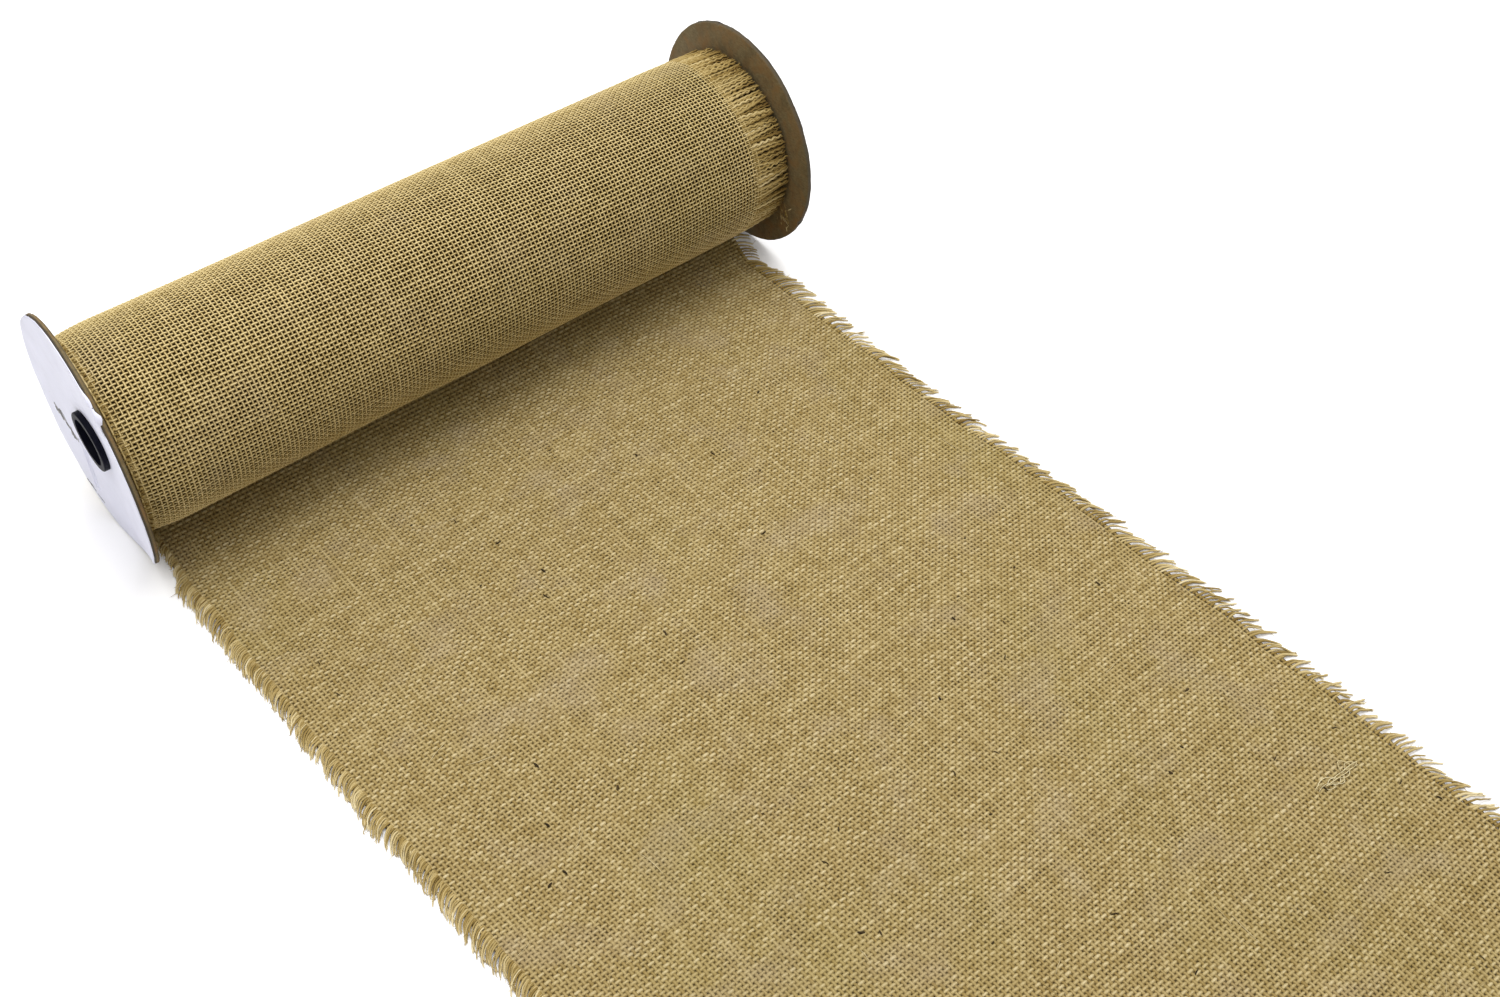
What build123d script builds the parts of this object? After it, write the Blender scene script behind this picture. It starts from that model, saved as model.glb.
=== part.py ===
"""A wide burlap ribbon on a flanged spool, with its free length lying on the table.

The spool is a kraft tube with a chipboard disc on each end. A plastic hub is pushed through each disc
into the tube, so that its lip clamps the disc. The ribbon is taped to the tube, wound on it, and
leaves the roll underneath. The whole spool turns about its axis while the free length lies still.

Frame: origin at the middle of the spool's axis, +X along the axis, +Y away from the free length,
+Z up. The table is one flange radius below the origin. Millimetres.
"""

import os

from build123d import *

# Spool
WINDING_WIDTH = 305.0  # between the boards' rims: a 12 inch ribbon, fringes included
TUBE_LENGTH = 300.0  # between the boards at the tube: the full roll pushes their rims outwards
FLANGE_RADIUS = 50.8  # a 4 inch disc
SEAT_RADIUS = 15.0  # the boards are flat up to here, and dished from here to the rim
BOARD_THICKNESS = 2.0
PAPER_THICKNESS = 0.25
PAPER_RADIUS = FLANGE_RADIUS - 0.5
CORE_OUTER_RADIUS = 14.0
CORE_INNER_RADIUS = 11.0

# Hubs
ROD_RADIUS = 9.5  # the hole through both hubs
HUB_LIP_RADIUS = 12.2
HUB_LIP_HEIGHT = 2.3  # stands proud of the paper
HUB_DEPTH = 18.0  # how far the sleeve goes into the tube
HUB_ROUNDING = 0.5
HUB_FIT = 0.02  # radial clearance of the sleeve, which the slits' spring takes up
HUB_SLITS = 4
HUB_SLIT_WIDTH = 1.6
HUB_SLIT_LENGTH = 10.0

# Ribbon
RIBBON_THICKNESS = 0.9
WOVEN_WIDTH = 283.5
ROLL_RADIUS = 40.4
ROLL_LEFT_EDGE = -149.0  # the outer turn's woven edges
ROLL_RIGHT_EDGE = 133.8
ROLL_SHOULDER = 16.0  # the length over which the roll thins towards an end
ROLL_DROP_LEFT = 3.0
ROLL_DROP_RIGHT = 2.2
END_CLEARANCE = 0.3  # from the fringe tips to the boards
FRINGE_DROP = 1.5  # the fringes' radius under that of the roll beside them

# Tape that holds the ribbon's inner end to the tube
TAPE_THICKNESS = 0.12
TAPE_LENGTH = 260.0
TAPE_WIDTH = 24.0

# Torn remains of a sticker beside the left hub
LABEL_THICKNESS = 0.1
LABEL_CENTRE = (30.0, -13.5)  # Y, Z
LABEL_SIZE = (16.0, 4.0)
LABEL_LEAN = 30.0  # degrees
LABEL_TEAR = 1.2  # radius of the bites along its edges

# Free length
TABLE = -FLANGE_RADIUS
TAIL_CLEARANCE = 0.4  # under the turning roll
TAIL_WRAP = 8.0  # degrees of the roll that the ribbon follows before it leaves
TAIL_TOUCHDOWN = -32.0  # Y where the ribbon has come down to the table
TAIL_END = -480.0  # Y of the cut end
TAIL_CENTRE_AT_ROLL = -3.2  # X of the ribbon's middle line
TAIL_CENTRE_AT_END = 4.5
LEFT_FRINGE = 6.0
RIGHT_FRINGE = 9.0

RIM_FACE = WINDING_WIDTH / 2
SEAT_FACE = TUBE_LENGTH / 2
HUB_SEAT = SEAT_FACE + BOARD_THICKNESS + PAPER_THICKNESS
HUB_FACE = HUB_SEAT + HUB_LIP_HEIGHT
ROLL_INNER_RADIUS = CORE_OUTER_RADIUS + TAPE_THICKNESS
FINISHED = []


def board_face(radius):
    """Distance from the middle to a dished board's inner face at a radius from the axis."""
    share = max(0.0, (radius - SEAT_RADIUS) / (FLANGE_RADIUS - SEAT_RADIUS))
    return SEAT_FACE + share * (RIM_FACE - SEAT_FACE)


def dished_disc(side, distance, thickness, radius):
    """A disc with the boards' dish, its inner face at this distance outside theirs."""
    inner = [(r, board_face(r) + distance) for r in (CORE_INNER_RADIUS, SEAT_RADIUS, radius)]
    outer = [(r, x + thickness) for r, x in reversed(inner)]
    with BuildPart() as disc:
        with BuildSketch(Plane.XZ):
            with BuildLine():
                Polyline(*[(side * x, r) for r, x in inner + outer], close=True)
            make_face()
        revolve(axis=Axis.X)
    return disc


def finish(builder, label):
    builder.part.label = label
    FINISHED.append(builder.part)


# Boards: chipboard discs, and the white papers glued on their outer faces
for side, name in ((-1, "left"), (1, "right")):
    finish(dished_disc(side, 0, BOARD_THICKNESS, FLANGE_RADIUS), f"{name}_flange")
    finish(dished_disc(side, BOARD_THICKNESS, PAPER_THICKNESS, PAPER_RADIUS), f"{name}_face_paper")

# What is left of a sticker that was torn off the left paper
sticker_layer = dished_disc(-1, BOARD_THICKNESS + PAPER_THICKNESS, LABEL_THICKNESS, PAPER_RADIUS)
with BuildPart() as torn_label:
    add(sticker_layer.part)
    with BuildSketch(Plane.YZ.offset(-SEAT_FACE)):
        with Locations(Location(LABEL_CENTRE, LABEL_LEAN)):
            Rectangle(*LABEL_SIZE)
            with Locations((LABEL_SIZE[0] / 4, LABEL_SIZE[1] / 2), (-LABEL_SIZE[0] / 4, -LABEL_SIZE[1] / 2)):
                Circle(LABEL_TEAR, mode=Mode.SUBTRACT)
    extrude(amount=SEAT_FACE - HUB_FACE, mode=Mode.INTERSECT)
finish(torn_label, "torn_label")

# Tube between the boards
with BuildPart() as core_tube:
    with BuildSketch(Plane.YZ.offset(-SEAT_FACE)):
        Circle(CORE_OUTER_RADIUS)
        Circle(CORE_INNER_RADIUS, mode=Mode.SUBTRACT)
    extrude(amount=TUBE_LENGTH)
finish(core_tube, "core_tube")

# Hubs: a lip outside, and a sleeve through the board into the tube with spring slits at its far end
sleeve_radius = CORE_INNER_RADIUS - HUB_FIT
sleeve_length = HUB_SEAT - SEAT_FACE + HUB_DEPTH
for side, name in ((-1, "left_hub"), (1, "right_hub")):
    seat = Plane.YZ.offset(side * HUB_SEAT)
    sleeve_end = Plane.YZ.offset(side * (HUB_SEAT - sleeve_length))
    with BuildPart() as hub:
        with BuildSketch(seat):
            Circle(HUB_LIP_RADIUS)
        extrude(amount=side * HUB_LIP_HEIGHT)
        outer_face = hub.faces().sort_by(Axis.X if side > 0 else -Axis.X)[-1]
        fillet(outer_face.edges(), HUB_ROUNDING)
        with BuildSketch(sleeve_end):
            Circle(sleeve_radius)
        extrude(amount=side * sleeve_length)
        with BuildSketch(sleeve_end):
            Circle(ROD_RADIUS)
        extrude(amount=side * (sleeve_length + HUB_LIP_HEIGHT), mode=Mode.SUBTRACT)
        with BuildSketch(sleeve_end):
            with PolarLocations(0, HUB_SLITS // 2, angular_range=180):
                Rectangle(2 * CORE_INNER_RADIUS, HUB_SLIT_WIDTH)
        extrude(amount=side * HUB_SLIT_LENGTH, mode=Mode.SUBTRACT)
    finish(hub, name)

# Strip of tape along the tube, under the first turn
with BuildPart() as starter_tape:
    with BuildSketch(Plane.YZ.offset(-TAPE_LENGTH / 2)):
        Circle(CORE_OUTER_RADIUS + TAPE_THICKNESS)
        Circle(CORE_OUTER_RADIUS, mode=Mode.SUBTRACT)
        with Locations((0, CORE_OUTER_RADIUS)):
            Rectangle(TAPE_WIDTH, 2 * CORE_OUTER_RADIUS, mode=Mode.INTERSECT)
    extrude(amount=TAPE_LENGTH)
finish(starter_tape, "starter_tape")

# The wound turns, thinner towards both ends where the edges are looser
left_radius = ROLL_RADIUS - ROLL_DROP_LEFT
right_radius = ROLL_RADIUS - ROLL_DROP_RIGHT
with BuildPart() as wound_ribbon:
    with BuildSketch(Plane.XZ):
        with BuildLine():
            left_shoulder = ROLL_LEFT_EDGE + ROLL_SHOULDER
            right_shoulder = ROLL_RIGHT_EDGE - ROLL_SHOULDER
            Line((ROLL_LEFT_EDGE, ROLL_INNER_RADIUS), (ROLL_LEFT_EDGE, left_radius))
            TangentArc((left_shoulder, ROLL_RADIUS), (ROLL_LEFT_EDGE, left_radius),
                       tangent=(-1, 0), tangent_from_first=True)
            Line((left_shoulder, ROLL_RADIUS), (right_shoulder, ROLL_RADIUS))
            TangentArc((right_shoulder, ROLL_RADIUS), (ROLL_RIGHT_EDGE, right_radius), tangent=(1, 0))
            Line((ROLL_RIGHT_EDGE, right_radius), (ROLL_RIGHT_EDGE, ROLL_INNER_RADIUS))
            Line((ROLL_RIGHT_EDGE, ROLL_INNER_RADIUS), (ROLL_LEFT_EDGE, ROLL_INNER_RADIUS))
        make_face()
    revolve(axis=Axis.X)
finish(wound_ribbon, "wound_ribbon")

# The turns' frayed edges, between the roll and the boards
roll_fringes = (
    ("roll_fringe_left", -1, ROLL_LEFT_EDGE, left_radius),
    ("roll_fringe_right", 1, ROLL_RIGHT_EDGE, right_radius),
)
for name, side, woven_edge, radius in roll_fringes:
    tip_radius = radius - FRINGE_DROP
    with BuildPart() as roll_fringe:
        with BuildSketch(Plane.XZ):
            with BuildLine():
                Polyline(
                    (woven_edge, ROLL_INNER_RADIUS),
                    (woven_edge, radius),
                    (side * (board_face(tip_radius) - END_CLEARANCE), tip_radius),
                    (side * (board_face(ROLL_INNER_RADIUS) - END_CLEARANCE), ROLL_INNER_RADIUS),
                    close=True,
                )
            make_face()
        revolve(axis=Axis.X)
    finish(roll_fringe, name)

# The free length in side view: under the roll, down in an S, and flat along the table
middle_radius = ROLL_RADIUS + TAIL_CLEARANCE + RIBBON_THICKNESS / 2
middle_height = TABLE + RIBBON_THICKNESS / 2
halfway = (TAIL_TOUCHDOWN / 2, (middle_height - middle_radius) / 2)


def free_length(left_at_roll, right_at_roll, left_at_end, right_at_end):
    """The part of the free length between two long edges, each given at the roll and at the cut end."""
    with BuildPart() as piece:
        with BuildSketch(Plane.YZ.offset(-WINDING_WIDTH)):
            with BuildLine():
                CenterArc((0, 0), middle_radius, -90, TAIL_WRAP)
                fall = TangentArc((0, -middle_radius), halfway, tangent=(-1, 0))
                TangentArc(halfway, (TAIL_TOUCHDOWN, middle_height), tangent=fall % 1)
                Line((TAIL_TOUCHDOWN, middle_height), (TAIL_END, middle_height))
            trace(line_width=RIBBON_THICKNESS)
        extrude(amount=2 * WINDING_WIDTH)
        with BuildSketch(Plane.XY.offset(TABLE)):
            with BuildLine():
                Polyline(
                    (left_at_roll, FLANGE_RADIUS),
                    (right_at_roll, FLANGE_RADIUS),
                    (right_at_end, TAIL_END),
                    (left_at_end, TAIL_END),
                    close=True,
                )
            make_face()
        extrude(amount=FLANGE_RADIUS, mode=Mode.INTERSECT)
    return piece


left_edges = (TAIL_CENTRE_AT_ROLL - WOVEN_WIDTH / 2, TAIL_CENTRE_AT_END - WOVEN_WIDTH / 2)
right_edges = (TAIL_CENTRE_AT_ROLL + WOVEN_WIDTH / 2, TAIL_CENTRE_AT_END + WOVEN_WIDTH / 2)
tail = free_length(left_edges[0], right_edges[0], left_edges[1], right_edges[1])
finish(tail, "ribbon_tail")
left_strip = free_length(left_edges[0] - LEFT_FRINGE, left_edges[0], left_edges[1] - LEFT_FRINGE, left_edges[1])
finish(left_strip, "tail_fringe_left")
right_strip = free_length(
    right_edges[0], right_edges[0] + RIGHT_FRINGE, right_edges[1], right_edges[1] + RIGHT_FRINGE
)
finish(right_strip, "tail_fringe_right")

os.makedirs("parts", exist_ok=True)
for part in FINISHED:
    export_step(part, f"parts/{part.label}.step")
print(f"{len(FINISHED)} parts, {2 * HUB_FACE:.1f} mm over the hubs")
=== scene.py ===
"""A burlap ribbon on its spool: every yarn woven over and under, frayed edges, worn chipboard flanges.

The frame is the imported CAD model. Lengths are in millimetres until a mesh is made, which is in metres.
A point of the ribbon is given by x across it, s along it and h above its middle surface; round the
spool, an angle in the YZ plane (0 towards +Y, 90 degrees up) takes the place of s.
"""
import math

import bpy
import numpy as np
from mathutils import Matrix, Vector


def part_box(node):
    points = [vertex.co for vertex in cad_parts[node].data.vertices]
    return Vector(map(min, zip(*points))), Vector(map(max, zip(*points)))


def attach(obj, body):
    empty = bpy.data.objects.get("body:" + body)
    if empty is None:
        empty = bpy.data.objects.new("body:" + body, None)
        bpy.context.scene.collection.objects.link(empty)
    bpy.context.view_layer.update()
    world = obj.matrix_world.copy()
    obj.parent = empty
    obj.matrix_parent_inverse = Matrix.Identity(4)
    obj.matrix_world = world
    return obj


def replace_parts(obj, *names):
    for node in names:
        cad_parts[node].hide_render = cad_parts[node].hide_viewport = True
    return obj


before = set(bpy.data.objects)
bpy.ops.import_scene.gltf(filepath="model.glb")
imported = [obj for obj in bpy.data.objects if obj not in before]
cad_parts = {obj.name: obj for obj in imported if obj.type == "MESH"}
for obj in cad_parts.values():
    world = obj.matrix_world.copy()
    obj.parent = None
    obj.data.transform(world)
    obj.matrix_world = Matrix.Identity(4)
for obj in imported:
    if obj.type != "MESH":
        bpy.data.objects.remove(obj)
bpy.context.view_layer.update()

MM = 0.001


def corners(node):
    """The lowest and highest corner of a CAD node, in millimetres."""
    low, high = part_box(node)
    return np.array(low) / MM, np.array(high) / MM


roll_low, roll_high = corners("wound_ribbon")
tail_low = corners("ribbon_tail")[0]
board_high = corners("right_flange")[1]
tube_high = corners("core_tube")[1]
paper_high = corners("right_face_paper")[1]

# Yarns of the ribbon: half a yarn's width and height, before its own share, its number of sides, how much
# painted shade darkens its flanks, and how far it swings above and below the middle of the ribbon
TAIL_YARN = (1.06, 0.27, 3, 0.19, 0.15)
ROLL_YARN = (0.47, 0.38, 4, 0.80, 0.21)  # pulled tight, so thinner and rounder
PITCH = 1.70  # from yarn to yarn, both ways
YARN_TOP = 0.42  # the yarns' tops, over the middle of the free length
# Painted highlight where a yarn rides over a crossing and painted shade where it dips under one
PAINTED_CROSSING_SHADE = 0.10  # how much paler a yarn is over a crossing, and darker under one
WEFT_SHADE = 0.08  # how much paler the crosswise yarns are, and darker the lengthwise ones
ROLL_THINNING = 0.12  # how much thinner the roll's yarns are at its right end, and thicker at its left
TAIL_WARP_YARNS = 169
ROLL_WARP_YARNS = 166
LAP = 3  # crossings of the roll's lengthwise yarns that repeat their start

# The free length, on the same line as in the CAD model
RIBBON_THICKNESS = 0.9
TAIL_GAP = 0.4  # between the roll and the free length where it leaves
TAIL_WRAP = math.radians(8)  # how far it follows the roll
TAIL_TOUCHDOWN = -32.0  # Y where it comes to lie on the table
TAIL_FRAY = 7.0  # crosswise yarns lost at the cut end

# The roll
ROLL_RADIUS = roll_high[2]
ROLL_SHOULDER = 16.0  # how far from its ends the roll starts to thin
ROLL_DROP = (1.2, 0.3)  # how much it thins: left, right
ROLL_SLACK = 0.15
INNER_TURN_DEPTH = 1.5  # under the outer turn's middle
TURNS = 26
FRINGE_LAYERS = (0.0, 0.3, 0.7, 1.2)  # how deep the fringes of the outer turns lie
FRINGE_SAG = 0.3  # of their tips

# Boards
RIM_RADIUS = board_high[2]
TABLE = -RIM_RADIUS
BOARD_THICKNESS = 2.0
PAPER_THICKNESS = paper_high[0] - board_high[0]
PAPER_RADIUS = paper_high[2]
SEAT_RADIUS = 15.0  # a board is flat up to here, and dished from here to the rim
SEAT_FACE = tube_high[0]
RIM_FACE = board_high[0] - BOARD_THICKNESS
HOLE_RADIUS = 11.2
BEND_RADIUS = 13.0  # the hubs hold a board straight up to here
CRUSHED = 1.5  # how far in from the rim a board is crushed and uneven
# The rim's darkening: partly dirt, and on the right mostly painted shade that dims the rim where light
# from above falls on it
RIM_DIRT_AND_SHADE = {-1: 0.1, 1: 0.9}  # on the rim itself: left, right
RIM_NICKS = {-1: ((60, 0.8), (98, 0.5), (151, 0.7), (203, 0.8)), 1: ((206, 0.9), (75, 0.5), (58, 0.4))}
SEGMENTS = 256
around = np.arange(SEGMENTS) * 2 * math.pi / SEGMENTS

# Scraps on the left board's paper: from (y, z) to (y, z), width, height and raggedness
STICKER_SCRAPS = (((38.5, -9.4), (30.5, -13.6), 4.2, 0.16, 0.8),
                  ((31.0, -13.8), (22.6, -18.6), 4.2, 0.16, 0.9),
                  ((34.0, -9.2), (31.0, -11.2), 1.0, 0.12, 0.6))
PAPER_TEARS = (((21.2, -15.8), (18.7, -26.9), 1.3, 0.45, 0.5),
               ((18.7, -26.9), (17.8, -38.9), 1.0, 0.4, 0.5),
               ((17.3, -19.0), (15.4, -30.5), 0.8, 0.35, 0.5),
               ((15.6, -30.0), (15.1, -38.9), 0.8, 0.35, 0.5))
# The first two dark strips, along the bottom of the rim, are painted shadow; the last two darken the
# sticker's scraps
RIM_SHADOW_AND_SCRAP_STRIPS = (((27.5, -42.0), (20.5, -43.6), 1.4, 0.1, 0.8),
               ((19.5, -44.2), (14.0, -45.0), 0.6, 0.1, 0.8),
               ((37.5, -10.2), (32.0, -13.2), 3.0, 0.3, 1.3),
               ((31.0, -13.9), (24.0, -17.9), 3.2, 0.3, 1.3))

# The right board's scuffs and the free length's flecks
SCUFFS = 26
SCUFFS_CENTRE = (-36.8, -23.3)  # Y, Z
BARK_SPOTS = ((66, 267), (116, 120), (33, 316), (53, 118), (-20, 180))  # x, s
TUFT_PLACE = (110, 376)  # x, s


# ------------------------------------------------------------------------------ numbers and meshes

def ease(value):
    """0 below 0, 1 above 1, and a smooth S between."""
    t = np.clip(value, 0, 1)
    return t * t * (3 - 2 * t)


def noise(u, v, cell, seed):
    """Smooth noise from -1 to 1 over two coordinates, with features about one cell wide."""
    u, v = np.broadcast_arrays(np.asarray(u, float) / cell, np.asarray(v, float) / cell)
    i, j = np.floor(u).astype(np.int64), np.floor(v).astype(np.int64)
    fu, fv = ease(u - i), ease(v - j)
    grid = np.random.default_rng(seed).uniform(-1, 1, (1 << 16))

    def at(a, b):
        return grid[(a * 7919 + b * 104729) & 0xFFFF]

    low = at(i, j) * (1 - fu) + at(i + 1, j) * fu
    high = at(i, j + 1) * (1 - fu) + at(i + 1, j + 1) * fu
    return low * (1 - fv) + high * fv


def round_noise(x, angle, cell, seed):
    """Noise over the roll's surface, without a seam where the angle starts again."""
    return 0.6 * (noise(x, 40 * np.cos(angle), cell, seed) + noise(x, 40 * np.sin(angle), cell, seed + 50))


def unit(vectors):
    """The same directions with length 1."""
    return vectors / np.linalg.norm(vectors, axis=-1, keepdims=True)


def new_piece(name, points, faces, body, mat, values=None):
    """A smooth mesh from points in millimetres and four-cornered faces, riding on a CAD body."""
    mesh = bpy.data.meshes.new(name)
    mesh.vertices.add(len(points))
    mesh.vertices.foreach_set("co", (points * MM).astype(np.float32).ravel())
    mesh.loops.add(faces.size)
    mesh.loops.foreach_set("vertex_index", faces.astype(np.int32).ravel())
    mesh.polygons.add(len(faces))
    mesh.polygons.foreach_set("loop_start", np.arange(0, faces.size, faces.shape[1], dtype=np.int32))
    mesh.polygons.foreach_set("use_smooth", np.ones(len(faces), bool))
    mesh.update(calc_edges=True)
    for key, data in (values or {}).items():
        kind, field = ("FLOAT", "value") if data.ndim == 1 else ("FLOAT_VECTOR", "vector")
        mesh.attributes.new(key, kind, "POINT").data.foreach_set(field, data.astype(np.float32).ravel())
    mesh.materials.append(mat)
    piece = bpy.data.objects.new(name, mesh)
    bpy.context.scene.collection.objects.link(piece)
    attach(piece, body)
    return piece


def tubes(lines, up, half_width, half_height, tone, sides=3, flank_shade=0.2):
    """Points, faces and attributes of tubes along lines, which all have as many points.

    lines and up are (tubes, points, 3), the half sizes and the tone (tubes, points). A ridge is on top,
    where the tone is whole; the flank value is painted shade, how much of the tone is lost half-way down.
    The ends come to a point.
    """
    count, length, _ = lines.shape
    closed = np.ones(length)
    closed[[0, -1]] = 0.02
    half_width, half_height = half_width * closed, half_height * closed
    ahead = unit(np.gradient(lines, axis=1))
    across = unit(np.cross(ahead, up))
    up = np.cross(across, ahead)
    turn = math.pi / 2 + np.arange(sides) * 2 * math.pi / sides
    side = np.cos(turn) * half_width[..., None]
    lift = np.sin(turn) * half_height[..., None]
    points = lines[:, :, None] + side[..., None] * across[:, :, None] + lift[..., None] * up[:, :, None]
    index = np.arange(count * length * sides).reshape(count, length, sides)
    beside = np.roll(index, -1, axis=2)
    walls = np.stack([index[:, :-1], index[:, 1:], beside[:, 1:], beside[:, :-1]], -1).reshape(-1, 4)
    step = np.linalg.norm(np.diff(lines, axis=1), axis=2)
    along = np.concatenate([np.zeros((count, 1)), np.cumsum(step, axis=1)], axis=1)
    fibre = np.empty((count, length, sides, 3))
    fibre[..., 0] = along[:, :, None]
    fibre[..., 1] = side + 0.3 * lift
    fibre[..., 2] = np.arange(count)[:, None, None] * 3.7
    shades = tone[..., None] + flank_shade * (np.sin(turn) - 1)
    values = {"tone": np.clip(shades, 0, 1).ravel(), "fibre": fibre.reshape(-1, 3)}
    return points.reshape(-1, 3), walls, values


def joined(parts):
    """Several tubes() results as one."""
    points, faces, values, first = [], [], [], 0
    for part_points, part_faces, part_values in parts:
        points.append(part_points)
        faces.append(part_faces + first)
        values.append(part_values)
        first += len(part_points)
    merged = {key: np.concatenate([v[key] for v in values]) for key in values[0]}
    return np.concatenate(points), np.concatenate(faces), merged


def lathe(grid):
    """Faces over a (rings, segments) grid of points that closes round the second axis."""
    rings, segments = grid
    index = np.arange(rings * segments).reshape(rings, segments)
    beside = np.roll(index, -1, axis=1)
    return np.stack([index[:-1], beside[:-1], beside[1:], index[1:]], -1).reshape(-1, 4)


def patch(rows, columns):
    """Faces over an open (rows, columns) grid of points."""
    index = np.arange(rows * columns).reshape(rows, columns)
    return np.stack([index[:-1, :-1], index[:-1, 1:], index[1:, 1:], index[1:, :-1]], -1).reshape(-1, 4)


# ------------------------------------------------------------------------------ materials

def material(name, roughness):
    """A new material, its node tree and its shader."""
    mat = bpy.data.materials.new(name)
    mat.use_nodes = True
    shader = mat.node_tree.nodes["Principled BSDF"]
    shader.inputs["Roughness"].default_value = roughness
    return mat, mat.node_tree, shader


def texture(tree, vector, scale, detail=3.0, roughness=0.55, distortion=0.0):
    """A noise texture's value over a vector output."""
    made = tree.nodes.new("ShaderNodeTexNoise")
    made.inputs["Scale"].default_value = scale
    made.inputs["Detail"].default_value = detail
    made.inputs["Roughness"].default_value = roughness
    made.inputs["Distortion"].default_value = distortion
    tree.links.new(vector, made.inputs["Vector"])
    return made.outputs["Fac"]


def place_in_mm(tree, stretch=(1, 1, 1)):
    """The point's place on the object, in millimetres, stretched along the axes."""
    where = tree.nodes.new("ShaderNodeTexCoord").outputs["Object"]
    return scaled(tree, where, tuple(k / MM for k in stretch))


def scaled(tree, vector, factors):
    """A vector output times constant factors."""
    made = tree.nodes.new("ShaderNodeVectorMath")
    made.operation = "MULTIPLY"
    made.inputs[1].default_value = factors
    tree.links.new(vector, made.inputs[0])
    return made.outputs[0]


def maths(tree, operation, *values):
    """The output of a math node over numbers and outputs."""
    made = tree.nodes.new("ShaderNodeMath")
    made.operation = operation
    for socket, value in zip(made.inputs, values):
        if isinstance(value, (int, float)):
            socket.default_value = value
        else:
            tree.links.new(value, socket)
    return made.outputs[0]


def spread(tree, value, low, high):
    """A value stretched so that low becomes 0 and high becomes 1."""
    made = tree.nodes.new("ShaderNodeMapRange")
    made.inputs["From Min"].default_value = low
    made.inputs["From Max"].default_value = high
    tree.links.new(value, made.inputs["Value"])
    return made.outputs["Result"]


def ramp(tree, factor, *stops):
    """A colour ramp through (position, (r, g, b)) stops."""
    made = tree.nodes.new("ShaderNodeValToRGB")
    elements = made.color_ramp.elements
    while len(elements) < len(stops):
        elements.new(0.5)
    for element, (position, colour) in zip(elements, stops):
        element.position = position
        element.color = (*colour, 1)
    tree.links.new(factor, made.inputs["Fac"])
    return made.outputs["Color"]


def mixed(tree, factor, first, second):
    """A colour between two colours, or outputs, by a number or an output."""
    made = tree.nodes.new("ShaderNodeMix")
    made.data_type = "RGBA"
    for socket, value in zip((made.inputs[0], made.inputs[6], made.inputs[7]), (factor, first, second)):
        if isinstance(value, tuple):
            socket.default_value = (*value, 1)
        elif isinstance(value, (int, float)):
            socket.default_value = value
        else:
            tree.links.new(value, socket)
    return made.outputs[2]


def bump(tree, shader, height, distance):
    """Relief from a height output, over a distance in millimetres."""
    made = tree.nodes.new("ShaderNodeBump")
    made.inputs["Strength"].default_value = 1.0
    made.inputs["Distance"].default_value = distance * MM
    tree.links.new(height, made.inputs["Height"])
    tree.links.new(made.outputs["Normal"], shader.inputs["Normal"])


def attribute(tree, name, output):
    """An output of a mesh attribute."""
    made = tree.nodes.new("ShaderNodeAttribute")
    made.attribute_name = name
    return made.outputs[output]


# Four shades of jute, from the darkest to the palest; the darker stops carry the painted shade of the
# yarns' flanks
JUTE = ((0.110, 0.060, 0.010), (0.285, 0.197, 0.060), (0.475, 0.368, 0.165), (0.76, 0.66, 0.42))
TAIL_JUTE = ((0.165, 0.105, 0.030), (0.25, 0.172, 0.055), (0.41, 0.318, 0.145), (0.66, 0.565, 0.355))
ROLL_JUTE = ((0.065, 0.034, 0.005), (0.24, 0.160, 0.045), (0.46, 0.350, 0.145), (0.80, 0.66, 0.36))
# Jute darkened to near black: painted shade for the turns under the outer one, seen through its holes
INSIDE_PAINTED_SHADE = ((0.030, 0.016, 0.003), (0.055, 0.032, 0.007), (0.085, 0.052, 0.013), (0.13, 0.085, 0.025))
BARK = ((0.02, 0.012, 0.004), (0.045, 0.028, 0.010), (0.09, 0.055, 0.02), (0.16, 0.10, 0.04))
BLEACHED = ((0.48, 0.38, 0.18), (0.60, 0.50, 0.27), (0.70, 0.61, 0.37), (0.80, 0.73, 0.50))
FADED = (0.37, 0.292, 0.185)
OLIVE = (0.27, 0.230, 0.064)


def jute(name, shades=JUTE, patches=0.0, sheen=0.05):
    """Twisted jute: fibre streaks along each yarn, its own shade for each, faded and olive patches."""
    mat, tree, shader = material(name, 0.8)
    # The tone attribute holds each yarn's own tone together with the painted shade of its flanks and
    # crossings
    tone = attribute(tree, "tone", "Fac")
    fibre = attribute(tree, "fibre", "Vector")
    streaks = texture(tree, scaled(tree, fibre, (0.55, 6.0, 1.0)), 1.5, 4.0, 0.6, 0.4)
    shade = maths(tree, "MULTIPLY_ADD", streaks, 0.46, maths(tree, "SUBTRACT", tone, 0.23))
    colour = ramp(tree, shade, *zip((0.0, 0.36, 0.66, 1.0), shades))
    where = place_in_mm(tree)
    faded = spread(tree, texture(tree, where, 1 / 26, 4.0), 0.52, 0.72)
    olive = spread(tree, texture(tree, scaled(tree, where, (1, 0.6, 1)), 1 / 70, 2.0), 0.50, 0.70)
    colour = mixed(tree, maths(tree, "MULTIPLY", faded, patches), colour, FADED)
    colour = mixed(tree, maths(tree, "MULTIPLY", olive, 0.45 * patches), colour, OLIVE)
    tree.links.new(colour, shader.inputs["Base Color"])
    shader.inputs["Specular IOR Level"].default_value = 2 * sheen
    shader.inputs["Sheen Weight"].default_value = sheen
    shader.inputs["Sheen Roughness"].default_value = 0.6
    shader.inputs["Sheen Tint"].default_value = (1.0, 0.93, 0.75, 1)
    bump(tree, shader, streaks, 0.16)
    return mat


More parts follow.
